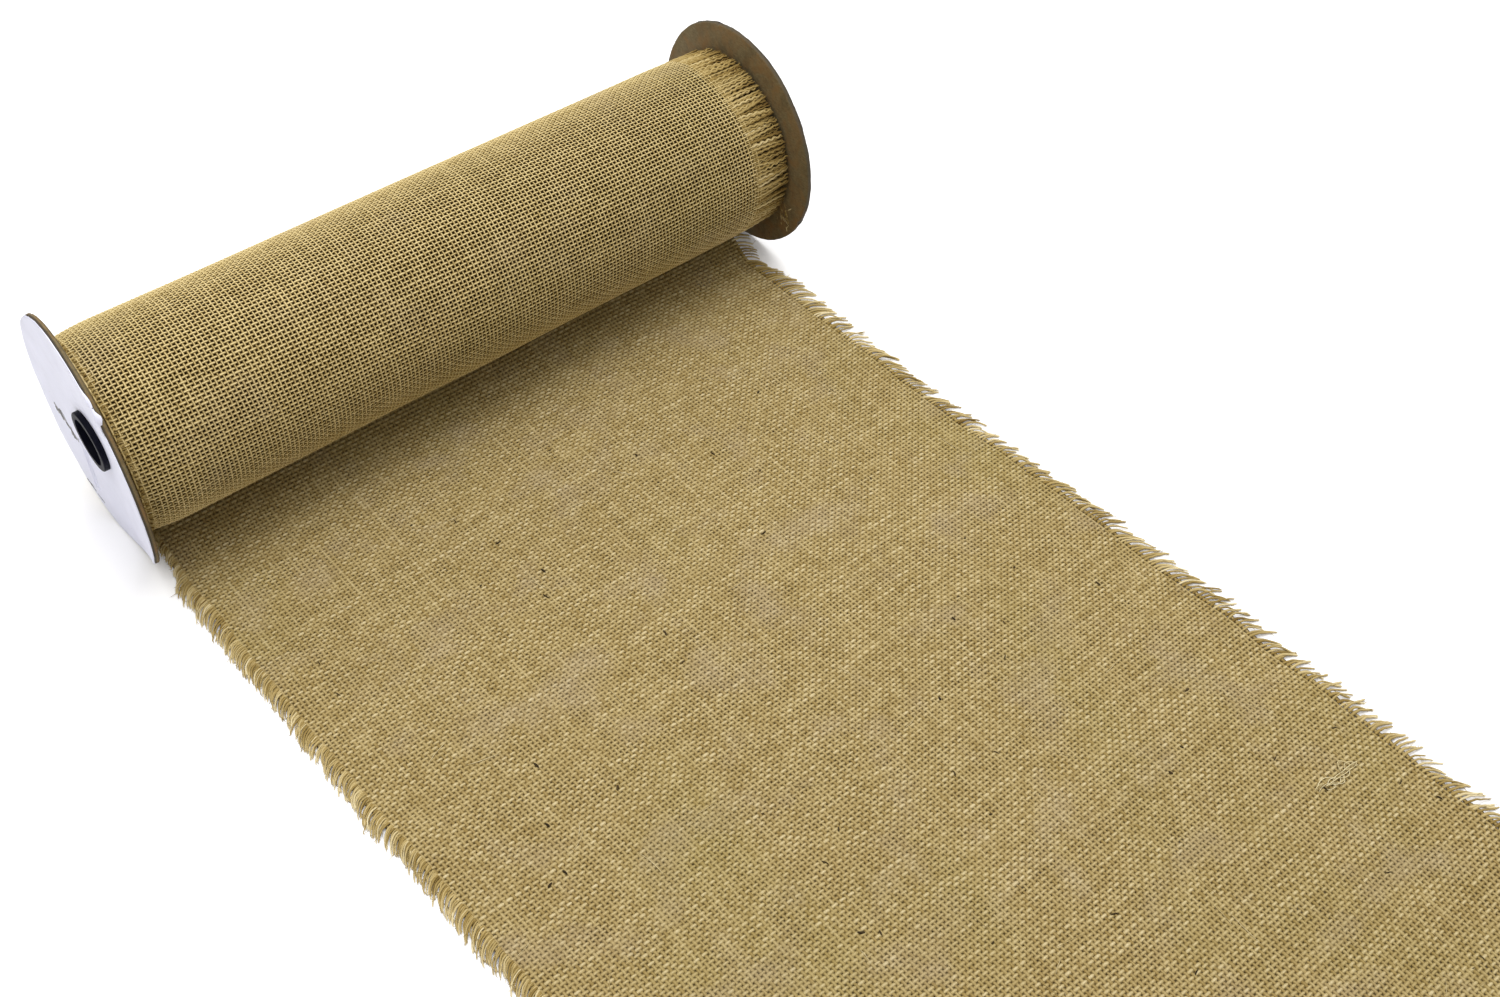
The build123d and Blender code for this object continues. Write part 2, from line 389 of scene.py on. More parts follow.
def chipboard():
    """Grey-brown board: matted paper fibres, brown stains and dark specks."""
    mat, tree, shader = material("chipboard_worn", 0.85)
    where = place_in_mm(tree)
    fibres = texture(tree, scaled(tree, where, (1, 0.35, 1)), 1.6, 5.0, 0.7, 0.5)
    stains = spread(tree, texture(tree, where, 1 / 9, 3.0, 0.6, 0.8), 0.42, 0.70)
    specks = spread(tree, texture(tree, where, 1.1, 1.0), 0.70, 0.76)
    colour = ramp(tree, fibres, (0.25, (0.095, 0.070, 0.031)), (0.75, (0.235, 0.182, 0.092)))
    colour = mixed(tree, maths(tree, "MULTIPLY", stains, 0.8), colour, (0.215, 0.118, 0.040))
    damp = spread(tree, texture(tree, scaled(tree, where, (1, 1, 0.5)), 1 / 6, 5.0, 0.7), 0.50, 0.72)
    colour = mixed(tree, maths(tree, "MULTIPLY", damp, 0.55), colour, (0.075, 0.055, 0.026))
    colour = mixed(tree, maths(tree, "MULTIPLY", specks, 0.7), colour, (0.05, 0.04, 0.03))
    # The rim attribute darkens the rim and the outer edge: partly dirt, partly painted shade
    rim = attribute(tree, "rim", "Fac")
    colour = mixed(tree, maths(tree, "MULTIPLY", rim, 0.8), colour, (0.034, 0.032, 0.026))
    tree.links.new(colour, shader.inputs["Base Color"])
    shader.inputs["Specular IOR Level"].default_value = 0.25
    bump(tree, shader, fibres, 0.12)
    return mat


def white_paper(name, white, grime, dirt_shade=(0.35, 0.33, 0.36), dirt_size=5.0):
    """Coated paper glued on the board: faint wrinkles, a given white and a little grime."""
    mat, tree, shader = material(name, 0.5)
    where = place_in_mm(tree)
    wrinkles = texture(tree, where, 1 / 14, 4.0, 0.5, 0.6)
    grain = texture(tree, where, 2.5, 3.0)
    dirt = spread(tree, texture(tree, where, 1 / dirt_size, 5.0, 0.65), 0.58, 0.78)
    colour = ramp(tree, wrinkles, (0.3, tuple(0.93 * c for c in white)), (0.7, white))
    colour = mixed(tree, maths(tree, "MULTIPLY", dirt, grime), colour, dirt_shade)
    tree.links.new(colour, shader.inputs["Base Color"])
    height = maths(tree, "MULTIPLY_ADD", grain, 0.06, wrinkles)
    bump(tree, shader, height, 0.5)
    return mat


def black_plastic():
    """Moulded plastic with fine scuffs."""
    mat, tree, shader = material("hub_black_plastic", 0.4)
    shader.inputs["Specular IOR Level"].default_value = 0.05
    where = place_in_mm(tree)
    scuffs = texture(tree, scaled(tree, where, (1, 1, 0.2)), 0.9, 5.0, 0.7)
    tree.links.new(ramp(tree, scuffs, (0.3, (0.003, 0.003, 0.007)), (0.8, (0.008, 0.008, 0.017))),
                   shader.inputs["Base Color"])
    tree.links.new(spread(tree, scuffs, -0.6, 1.6), shader.inputs["Roughness"])
    bump(tree, shader, scuffs, 0.03)
    return mat


def kraft_tube():
    """Spirally wound kraft paper: a seam that goes round and round, and paper fibres."""
    mat, tree, shader = material("kraft_spiral", 0.75)
    where = place_in_mm(tree)
    parts = tree.nodes.new("ShaderNodeSeparateXYZ")
    tree.links.new(where, parts.inputs[0])
    angle = maths(tree, "ARCTAN2", parts.outputs["Z"], parts.outputs["Y"])
    turn = maths(tree, "FRACT", maths(tree, "MULTIPLY_ADD", parts.outputs["X"], 1 / 60,
                                      maths(tree, "DIVIDE", angle, 2 * math.pi)))
    seam = spread(tree, turn, 0.02, 0.0)
    fibres = texture(tree, where, 1.2, 4.0)
    colour = ramp(tree, fibres, (0.3, (0.235, 0.140, 0.065)), (0.8, (0.370, 0.240, 0.125)))
    tree.links.new(mixed(tree, seam, colour, (0.10, 0.055, 0.025)), shader.inputs["Base Color"])
    bump(tree, shader, maths(tree, "SUBTRACT", fibres, seam), 0.1)
    return mat


def packing_tape():
    """Brown tape with fine ripples across it."""
    mat, tree, shader = material("packing_tape", 0.25)
    ripples = texture(tree, place_in_mm(tree, (0.3, 1, 1)), 0.5, 3.0)
    tree.links.new(ramp(tree, ripples, (0.3, (0.42, 0.30, 0.14)), (0.8, (0.55, 0.42, 0.22))),
                   shader.inputs["Base Color"])
    bump(tree, shader, ripples, 0.08)
    return mat


tail_jute = jute("jute_tail", TAIL_JUTE, patches=0.45)
roll_jute = jute("jute_roll", ROLL_JUTE, patches=0.25)
fringe_jute = jute("jute_fringe")
# Near-black jute as painted shade for the inner turns
painted_shade_jute = jute("jute_inside_painted_shade", INSIDE_PAINTED_SHADE, sheen=0.0)
board_material = chipboard()
# The left paper's white is darker and bluer than the right's: painted shade on the face turned away from
# the lights
shaded_left_paper_material = white_paper("paper_left_painted_shade", (0.75, 0.76, 0.90), 0.10)
right_paper_material = white_paper("paper_right", (0.84, 0.835, 0.86), 0.25)
# Near-black paper: painted shadow along the bottom of the rim, and the sticker's dark scraps
dark_strip_material = white_paper("paper_dark_strips", (0.10, 0.095, 0.10), 0.3)
torn_paper_material = white_paper("paper_torn", (0.30, 0.29, 0.31), 2.0, (0.035, 0.033, 0.040), 1.4)


# ------------------------------------------------------------------------------ the ribbon's surfaces

def tail_path():
    """The free length's middle line in the YZ plane: distances along it, points and normals."""
    middle = ROLL_RADIUS + TAIL_GAP + RIBBON_THICKNESS / 2
    floor = TABLE + RIBBON_THICKNESS / 2
    half_run = abs(TAIL_TOUCHDOWN) / 2
    half_fall = (-floor - middle) / 2
    bend = (half_run**2 + half_fall**2) / (2 * half_fall)
    swing = math.asin(half_run / bend)
    wrap = np.linspace(TAIL_WRAP, 0, 12)
    fall = np.linspace(0, swing, 24)[1:]
    land = fall[-2::-1]
    y = np.concatenate([middle * np.sin(wrap), -bend * np.sin(fall),
                        TAIL_TOUCHDOWN + bend * np.sin(land), [TAIL_TOUCHDOWN, tail_low[1]]])
    z = np.concatenate([-middle * np.cos(wrap), -middle - bend * (1 - np.cos(fall)),
                        floor + bend * (1 - np.cos(land)), [floor, floor]])
    along = np.concatenate([[0], np.cumsum(np.hypot(np.diff(y), np.diff(z)))])
    slope = unit(np.stack([np.gradient(y, along), np.gradient(z, along)], 1))
    return along, y, z, slope[:, 1], -slope[:, 0]


PATH = tail_path()
TAIL_LENGTH = PATH[0][-1]


def tail_y(s):
    """Y at a distance along the free length."""
    return np.interp(s, PATH[0], PATH[1])


def tail_lift(x, s):
    """How far the free length stands off its flat line: slack ripples that die out near the roll."""
    ripple = 0.45 + 0.45 * noise(x, s, 70, 1) + 0.15 * noise(x, s, 24, 2)
    edge = ease((np.abs(x) - 110) / 30)
    curl = edge * np.clip(0.4 + noise(x * 0.3, s, 22, 3), 0, None)
    return (np.clip(ripple, 0, None) + 1.1 * curl) * ease((s - 30) / 60)


def tail_point(x, s, h):
    """A point of the free length."""
    h = h + tail_lift(x, s)
    y, z, ny, nz = (np.interp(s, PATH[0], column) for column in PATH[1:])
    return np.stack(np.broadcast_arrays(x, y + h * ny, z + h * nz), -1)


def roll_radius(x, angle):
    """The radius of the outer turn's middle: smaller towards both ends, and a little uneven."""
    left = np.clip((roll_low[0] + ROLL_SHOULDER - x) / ROLL_SHOULDER, 0, 1.3)
    right = np.clip((x - roll_high[0] + ROLL_SHOULDER) / ROLL_SHOULDER, 0, 1.6)
    ends = ROLL_DROP[0] * left**2 + ROLL_DROP[1] * right**2
    uneven = 0.22 * round_noise(x, angle, 45, 5)
    return ROLL_RADIUS - RIBBON_THICKNESS / 2 - ROLL_SLACK - ends + uneven


def roll_point(x, angle, h):
    """A point of the roll's outer turn."""
    radius = roll_radius(x, angle) + h
    return np.stack(np.broadcast_arrays(x, radius * np.cos(angle), radius * np.sin(angle)), -1)


# ------------------------------------------------------------------------------ weaving

def board_face(radius):
    """Distance from the middle to a dished board's inner face at a radius from the axis."""
    share = np.clip((radius - SEAT_RADIUS) / (RIM_RADIUS - SEAT_RADIUS), 0, None)
    return SEAT_FACE + share * (RIM_FACE - SEAT_FACE)


def away(angle, degrees, reach):
    """A bump of 1 at an angle round the spool, which falls off within reach radians."""
    past = np.angle(np.exp(1j * (angle - math.radians(degrees))))
    return np.exp(-((past / reach) ** 2))


def warp(side, radius, angle):
    """How far use has bent a board along X: both lean, and the left one's lowest part is pushed in."""
    share = np.clip((radius - BEND_RADIUS) / (RIM_RADIUS - BEND_RADIUS), 0, None)
    ripple = 0.25 * noise(25 * np.cos(angle), 25 * np.sin(angle), 14, 60 + side) * share**2
    if side > 0:
        return ripple + share * (np.cos(angle - math.radians(30)) - 1)
    lean = 1.6 * np.cos(angle) - 0.6 + 1.3 * away(angle, 80, 1.0)
    return ripple + share * lean + 3.2 * share**2 * away(angle, -108, 0.5)


def board_gap(side, angle):
    """Where a board's inner face is beside the roll's outer turns."""
    radius = ROLL_RADIUS - 3
    return side * board_face(radius) + warp(side, radius, angle)


def board_point(side, radius, angle, distance):
    """A point of a board, at a distance outside its inner face."""
    x = side * (board_face(radius) + distance) + warp(side, radius, angle)
    return np.stack(np.broadcast_arrays(x, radius * np.cos(angle), radius * np.sin(angle)), -1)


def yarn_shares(count, along, seed):
    """Each yarn's width along its length, as a share of the usual: uneven, with a few slubs."""
    rng = np.random.default_rng(seed)
    own = np.arange(count)[:, None] * 37.0
    share = 1 + rng.normal(0, 0.06, count)[:, None] + 0.15 * noise(own, along, 6, seed + 1)
    for yarn in rng.choice(count, count // 5):
        middle, reach = rng.uniform(along[0], along[-1]), rng.uniform(3, 9)
        share[yarn] += rng.uniform(0.05, 0.25) * np.exp(-((along - middle) / reach) ** 2)
    return np.clip(share, 0.75, 1.35)


def yarn_tones(count, along, seed):
    """Each yarn's shade, from 0 dark to 1 pale."""
    rng = np.random.default_rng(seed)
    own = np.arange(count)[:, None] * 37.0
    tone = 0.5 + rng.normal(0, 0.02, count)[:, None]
    tone = tone + 0.05 * noise(own, along, 15, seed + 1) + 0.14 * noise(own, along, 3.4, seed + 2)
    return np.clip(tone, 0, 1)


def woven(names, place, xs, ss, bent, yarn, body, mat, seed, millimetres=1.0, lap=0, thinning=0.0):
    """The lengthwise and the crosswise yarns of a plain weave, as two pieces.

    place(x, s, h) puts the flat cloth on its surface, and bent(x, s) says where a crossing really is.
    lap is how many crossings at the end of ss only repeat its start, where the cloth closes on itself.
    """
    width, height, sides, flank_shade, crimp = yarn
    over = np.where(np.add.outer(np.arange(len(xs)), np.arange(len(ss))) % 2, crimp, -crimp)
    x, s = bent(*np.meshgrid(xs, ss, indexing="ij"))
    pieces = []
    for name, h, lengthwise in ((names[0], over, True), (names[1], -over, False)):
        lines = place(x, s, h)
        up = place(x, s, h + 1) - lines
        if not lengthwise:
            last = len(ss) - lap
            lines, up, h, x = (np.swapaxes(grid, 0, 1)[:last] for grid in (lines, up, h, x))
        along = ss * millimetres if lengthwise else xs
        share = yarn_shares(len(lines), along, seed + lengthwise)
        # Painted highlight over crossings and painted shade under them
        tone = yarn_tones(len(lines), along, seed + 10 + lengthwise) + PAINTED_CROSSING_SHADE * np.sign(h)
        tone = tone - WEFT_SHADE if lengthwise else tone + WEFT_SHADE
        share = share * (1 - thinning * x / xs[-1])
        # Painted shade on the yarns' flanks; the ridge's tone is raised by half of it
        made = tubes(lines, up, width * share, height * share**0.5, tone + 0.5 * flank_shade, sides, flank_shade)
        pieces.append(new_piece(name, made[0], made[1], body, mat, made[2]))
    return pieces


def tail_bent(x, s):
    """The free length lies a little askew, its edges wander and its yarns aren't quite straight."""
    askew = -3.5 + 6.8 * ease((-tail_y(s) - 110) / 170)
    half = TAIL_WARP_YARNS * PITCH / 2
    edge = np.exp((np.abs(x) - half) / 9) * np.sign(x)
    x_bent = x + askew + 0.9 * edge * noise(s, np.sign(x) * 40, 17, 31)
    x_bent = x_bent + 0.8 * noise(x, s, 60, 11) + 0.15 * noise(x, s, 8, 12)
    x_bent = x_bent + 0.10 * noise(x * 2, s, 3.4, 13)
    s_bent = 1.1 * noise(x, s, 60, 14) + 0.15 * noise(x, s, 8, 15) + 0.10 * noise(x, s * 2, 3.4, 16)
    return x_bent, s + s_bent * ease(s / 20)


def roll_bent(x, angle):
    """The outer turn's yarns wander; on the left it fills the gap up to the leaning board."""
    near_right = np.exp((x - roll_high[0]) / 12)
    to_board = (board_gap(-1, angle) + 1.2 - roll_low[0]) * np.exp((roll_low[0] - x) / 16)
    x_bent = x + 0.4 * round_noise(x, angle, 60, 21) + 0.09 * round_noise(x, angle, 6, 22)
    x_bent = x_bent + to_board + 1.1 * near_right * round_noise(0 * x, angle, 22, 25)
    sideways = 0.8 * round_noise(x, angle, 60, 23) + 0.12 * round_noise(x, angle, 7, 24)
    return x_bent, angle + sideways / ROLL_RADIUS


warps = (np.arange(TAIL_WARP_YARNS) - TAIL_WARP_YARNS // 2) * PITCH
wefts = np.arange(0, TAIL_LENGTH - TAIL_FRAY, PITCH)
tail_pieces = woven(("tail_lengthwise_yarns", "tail_crosswise_yarns"), tail_point, warps, wefts, tail_bent,
                    TAIL_YARN, "ribbon_free_length", tail_jute, 100)

round_count = round(2 * math.pi * ROLL_RADIUS / PITCH / 2) * 2
roll_angles = -math.pi / 2 + np.arange(round_count + LAP) * 2 * math.pi / round_count
roll_warps = np.linspace(roll_low[0], roll_high[0], ROLL_WARP_YARNS)
roll_pieces = woven(("roll_lengthwise_yarns", "roll_crosswise_yarns"), roll_point, roll_warps, roll_angles,
                    roll_bent, ROLL_YARN, "spool", roll_jute, 200, ROLL_RADIUS, LAP, ROLL_THINNING)


# ------------------------------------------------------------------------------ frayed edges

def curved(points, length, turn_first, turn_last):
    """Shares, and distances outwards and sideways, along strands that turn sideways as they go."""
    t = np.linspace(0, 1, points)
    turn = turn_first[:, None] + (turn_last - turn_first)[:, None] * t
    step = length[:, None] / (points - 1)
    out = np.cumsum(np.cos(turn) * step, axis=1) - np.cos(turn[:, :1]) * step
    aside = np.cumsum(np.sin(turn) * step, axis=1) - np.sin(turn[:, :1]) * step
    return t, out, aside


def clumped(aside, strength, spacing, largest, rng):
    """Sideways distances that draw the strands' tips together in clumps of one to the largest."""
    count, points = aside.shape
    group = np.repeat(np.arange(count), rng.integers(1, largest + 1, count))[:count]
    middle = np.array([np.mean(np.nonzero(group == g)[0]) for g in group])
    pull = (middle - np.arange(count)) * spacing * strength
    return aside + pull[:, None] * np.linspace(0, 1, points) ** 1.3


def kinks(out, size, rng):
    """The waves that a yarn keeps from the weave after its crossing yarns are gone."""
    phase = rng.uniform(0, 2 * math.pi, (len(out), 1))
    own = rng.uniform(0.3, 1.0, (len(out), 1))
    return size * own * np.sin(math.pi * out / PITCH + phase)


def hairs(lines, per_strand, length, rng, up, keep_above=None):
    """Fine fibres that leave the strands and curl."""
    count, points, _ = lines.shape
    strand = np.repeat(np.arange(count), per_strand)
    start = rng.integers(points // 3, points - 1, len(strand))
    base = lines[strand, start]
    ahead = unit(lines[strand, start] - lines[strand, start - 1])
    ahead = unit(ahead + rng.normal(0, 0.45, ahead.shape))
    bend = rng.normal(0, 0.9, ahead.shape)
    reach = rng.uniform(0.35, 1.0, len(strand)) * length
    t = np.linspace(0, 1, 7)[None, :, None]
    path = base[:, None] + reach[:, None, None] * (ahead[:, None] * t + 0.5 * bend[:, None] * t**2)
    if keep_above is not None:
        path[..., 2] = np.maximum(path[..., 2], keep_above)
    size = np.linspace(0.13, 0.05, 7)[None, :] * np.ones((len(strand), 1))
    tone = np.repeat(rng.uniform(0.35, 1.0, len(strand))[:, None], 7, axis=1)
    ups = np.broadcast_to(up, path.shape)
    return tubes(path, ups, size, size, tone, 3)


def tail_fringe(side, name, node, seed):
    """The crosswise yarns' loose ends along one edge of the free length, untwisted on the left."""
    rng = np.random.default_rng(seed)
    plies = 3 if side < 0 else 1
    skipped = 5 if side < 0 else 0  # these ends would be pinched between the roll and the board
    start_s = np.repeat(wefts[skipped:], plies)
    count = len(start_s)
    beside = (np.arange(count) % plies - (plies - 1) / 2) * PITCH / plies
    start_s = start_s + beside + rng.normal(0, 0.15, count)
    base_x, base_s = tail_bent(np.full(count, side * (TAIL_WARP_YARNS // 2) * PITCH), start_s)

    def wander(cell, layer):
        return noise(start_s, 0 * start_s, cell, seed + layer)

    if side > 0:
        length = 10.8 + 1.4 * wander(30, 1) + rng.normal(0, 0.8, count)
        first = rng.normal(0.05, 0.10, count) + 0.2 * wander(14, 2)
        last = rng.normal(0.95, 0.20, count) + 0.35 * wander(11, 3)
    else:
        length = 9.2 + 1.2 * wander(22, 1) + rng.normal(0, 0.9, count)
        first = rng.normal(0.20, 0.08, count) + 0.1 * wander(14, 2)
        last = rng.normal(1.25, 0.12, count) + 0.15 * wander(11, 3)
        length = length * (0.5 + 0.5 * ease((start_s - 34) / 12))
    t, out, aside = curved(18, length, first, last)
    aside = clumped(aside, 0.35, PITCH / plies, 4 * plies, rng) + kinks(out, 0.13, rng) * ease(t * 3)
    x = base_x[:, None] + side * (out - 1.7)
    s = base_s[:, None] + aside
    arch = np.abs(rng.normal(0, 0.4, count))[:, None] * np.sin(math.pi * t)
    rise = arch + rng.uniform(0, 0.2, count)[:, None]
    rise = rise * ease((start_s - 20) / 20)[:, None]
    sunk = (tail_lift(x, s) + RIBBON_THICKNESS / 2 - 0.36) * ease(t * 1.6 - 0.3)
    lines = tail_point(x, s, rise - sunk)
    up = tail_point(x, s, rise - sunk + 1) - lines
    thickness = 0.43 if side < 0 else 0.60
    size = (thickness - 0.26 * t**1.5)[None, :] * rng.uniform(0.75, 1.25, count)[:, None]
    tone = 0.54 + 0.30 * t[None, :] ** 2 + rng.normal(0, 0.15, count)[:, None]
    strands = tubes(lines, up, size, size * 0.7, np.clip(tone, 0, 1), 5)
    loose = hairs(lines, 1, 2.6, rng, np.array([0.0, 0.0, 1.0]), TABLE + 0.15)
    made = joined([strands, loose])
    piece = new_piece(name, made[0], made[1], "ribbon_free_length", fringe_jute, made[2])
    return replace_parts(piece, node)


def roll_fringe(side, name, node, seed):
    """The loose ends of the roll's outer turns, from the weave to the board."""
    rng = np.random.default_rng(seed)
    edge = roll_high[0] if side > 0 else roll_low[0]
    count = round_count
    parts = []
    for turn_below, below in enumerate(FRINGE_LAYERS):
        angle = roll_angles[:count] + turn_below * 0.5 * PITCH / ROLL_RADIUS
        base_x, base_angle = roll_bent(np.full(count, edge), angle)
        base_x = base_x - side * (1.7 + turn_below * rng.uniform(0.5, 1.5, count))
        length = side * (board_gap(side, angle) - base_x) - rng.uniform(0.2, 1.4, count)
        lean = 0.05 * round_noise(0 * angle, angle, 16, seed + turn_below)
        first = lean + rng.normal(0, 0.06, count)
        last = lean + rng.normal(0, 0.16, count)
        t, out, aside = curved(26, length, first, last)
        aside = clumped(aside, 0.03, PITCH, 4, rng) + kinks(out, 0.42, rng) * ease(t * 4)
        x = base_x[:, None] + side * out
        a = base_angle[:, None] + aside / ROLL_RADIUS
        sag = 0.1 - below + rng.normal(-0.1, 0.35, count)[:, None] * t**1.5 - FRINGE_SAG * t**2
        sag = sag + kinks(out, 0.18, rng) * ease(t * 4)
        lines = roll_point(x, a, sag)
        up = roll_point(x, a, sag + 1) - lines
        size = (0.54 - 0.08 * t**2)[None, :] * rng.uniform(0.75, 1.2, count)[:, None]
        # Deeper fringes are darker, painted shade under the ones above, and all grow darker towards their
        # tips by the board; the tubes' flanks get painted shade too
        tone = 0.56 - 0.10 * below - 0.32 * t[None, :] ** 3 + rng.normal(0, 0.12, count)[:, None]
        parts.append(tubes(lines, up, size, size, np.clip(tone, 0, 1), 5, 0.38))
        if not turn_below:
            parts.append(hairs(lines, 1, 2.5, rng, unit(lines[:1, :1] * [0, 1, 1])))
    made = joined(parts)
    piece = new_piece(name, made[0], made[1], "spool", fringe_jute, made[2])
    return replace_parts(piece, node)


# ------------------------------------------------------------------------------ boards and papers

def board(side, name, node):
    """A chipboard disc with a slightly crushed, fuzzy rim.

    Its profile is in (radius, distance outside the inner face, darkening) rows; the darkening is partly
    dirt and partly painted shade on the rim and its outer edge.
    """
    inner = [(r, 0.0, 0.0) for r in np.linspace(HOLE_RADIUS, RIM_RADIUS - CRUSHED, 24)]
    inner += [(RIM_RADIUS - 1.0, 0.0, 0.0), (RIM_RADIUS - 0.5, 0.0, 0.2), (RIM_RADIUS - 0.1, 0.2, 0.7)]
    rim = [(RIM_RADIUS, 0.5, RIM_DIRT_AND_SHADE[side]), (RIM_RADIUS, 1.0, RIM_DIRT_AND_SHADE[side]), (RIM_RADIUS, 1.4, 1.0)]
    outer = [(r, BOARD_THICKNESS - d, 1.0) for r, d, _ in reversed(inner)]
    rings, rim_value = [], []
    for ring, (radius, distance, value) in enumerate(inner + rim + outer):
        share = ease((radius - RIM_RADIUS + CRUSHED) / CRUSHED)
        rough = share * (0.16 * noise(50 * around, ring * 9.0, 1.6, 70 + side)
                         + 0.22 * noise(50 * around, 0 * around, 11, 72 + side) - 0.2)
        for degrees, depth in RIM_NICKS[side]:
            rough = rough - share * depth * away(around, degrees, 0.02)
        rings.append(board_point(side, radius + rough, around, distance))
        rim_value.append(np.full(SEGMENTS, value))
    rings.append(rings[0])
    rim_value.append(rim_value[0])
    points = np.concatenate(rings)
    faces = lathe((len(rings), SEGMENTS))
    piece = new_piece(name, points, faces, "spool", board_material,
                      {"rim": np.concatenate(rim_value)})
    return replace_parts(piece, node)


def face_paper(side, name, node, mat):
    """The paper glued on a board's outer face; on the left it is torn and folded over the rim."""
    edge = PAPER_RADIUS + 0.18 * noise(50 * around, 0 * around, 2.2, 80)
    edge = edge + 0.2 * noise(50 * around, 0 * around, 9, 81)
    fold = np.zeros(SEGMENTS)
    if side < 0:
        fold = away(around, 131.5, math.radians(2.6)) + 0.45 * away(around, 124, math.radians(4))
        edge = edge - 2.4 * away(around, 136.5, math.radians(1.8))
    outside = BOARD_THICKNESS + PAPER_THICKNESS
    rings = []
    for share in np.linspace(0, 1, 30):
        radius = HOLE_RADIUS + share * (edge - HOLE_RADIUS)
        bulge = noise(radius * np.cos(around), radius * np.sin(around), 13, 82 + side)
        bubble = 0.25 * np.clip(bulge, 0, 1)
        curl = 0.5 * fold * ease((share - 0.93) / 0.07)
        rings.append(board_point(side, radius, around, outside + bubble + curl))
    rings.append(board_point(side, edge + 1.5 * fold, around, outside + 0.3 * fold))
    rings.append(board_point(side, edge + 1.9 * fold, around, outside - 0.2 - 1.6 * fold))
    points = np.concatenate(rings)
    piece = new_piece(name, points, lathe((len(rings), SEGMENTS)), "spool", mat)
    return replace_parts(piece, node)


def on_left_paper(y, z, height):
    """A point over the left paper."""
    return board_point(-1, np.hypot(y, z), np.arctan2(z, y), BOARD_THICKNESS + PAPER_THICKNESS + height)


def torn_strip(start, end, width, height, ragged, rng, columns=40, rows=6):
    """A ragged strip of torn paper between two (y, z) points of the left face."""
    start, end = np.array(start), np.array(end)
    along = unit(end - start)
    aside = np.array([-along[1], along[0]])
    t = np.linspace(0, 1, columns)
    taper = np.sin(math.pi * np.clip(t, 0.04, 0.96)) ** 0.35
    seed = int(rng.integers(1000))
    reach = np.linalg.norm(end - start)
    top = width / 2 * taper * (1 + ragged * noise(t * reach, 0 * t, 1.1, seed))
    bottom = -width / 2 * taper * (1 + ragged * noise(t * reach, 0 * t, 1.3, seed + 1))
    v = np.linspace(0, 1, rows)[:, None]
    offset = bottom + (top - bottom) * v
    line = start[None] + (end - start)[None] * t[:, None]
    y = line[:, 0] + offset * aside[0]
    z = line[:, 1] + offset * aside[1]
    lift = height * np.sin(math.pi * v) ** 0.5 * np.ones(columns)
    return on_left_paper(y, z, lift).reshape(-1, 3), patch(rows, columns)


def torn_scraps(name, strips, mat):
    """Several torn strips as one piece."""
    points, faces, first = [], [], 0
    for strip in strips:
        strip_points, strip_faces = torn_strip(*strip, rng_label)
        points.append(strip_points)
        faces.append(strip_faces + first)
        first += len(strip_points)
    return new_piece(name, np.concatenate(points), np.concatenate(faces), "spool", mat)


board(-1, "left_board", "left_flange")
board(1, "right_board", "right_flange")
face_paper(-1, "left_paper", "left_face_paper", shaded_left_paper_material)
face_paper(1, "right_paper", "right_face_paper", right_paper_material)

rng_label = np.random.default_rng(7)
sticker = torn_scraps("sticker_remains", STICKER_SCRAPS, torn_paper_material)
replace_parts(sticker, "torn_label")
torn_scraps("paper_tears", PAPER_TEARS, shaded_left_paper_material)
# Painted shadow at the bottom of the rim and dark scraps over the sticker
torn_scraps("rim_shadow_and_scrap_strips", RIM_SHADOW_AND_SCRAP_STRIPS, dark_strip_material)


def board_scuffs():
    """Fibres scraped up on the right board's inner face."""
    rng = np.random.default_rng(12)
    parts = []
    starts = rng.normal(SCUFFS_CENTRE, 3.2, (SCUFFS, 2))
    headings = rng.normal(1.2, 0.5, SCUFFS)
    reaches = rng.uniform(1.2, 4.0, SCUFFS)
    widths = rng.uniform(0.1, 0.35, SCUFFS)
    t = np.linspace(-0.5, 0.5, 7)
    for start, heading, reach, width in zip(starts, headings, reaches, widths):
        y = start[0] + reach * t * np.cos(heading)
        z = start[1] + reach * t * np.sin(heading)
        lines = board_point(1, np.hypot(y, z), np.arctan2(z, y), -0.08)[None]
        up = np.array([[-1.0, 0, 0]]) + 0 * lines
        size = np.maximum(width * np.cos(math.pi * t)[None] ** 0.5, 0.02)
        tone = np.full((1, len(t)), rng.uniform(0.3, 1.0))
        parts.append(tubes(lines, up, size, size * 0.5, tone, 4))
    made = joined(parts)
    return new_piece("board_scuffs", made[0], made[1], "spool", fringe_jute, made[2])


board_scuffs()

tail_left = tail_fringe(-1, "tail_left_fringe", "tail_fringe_left", 301)
tail_right = tail_fringe(1, "tail_right_fringe", "tail_fringe_right", 302)
roll_left = roll_fringe(-1, "roll_left_fringe", "roll_fringe_left", 303)
roll_right = roll_fringe(1, "roll_right_fringe", "roll_fringe_right", 304)


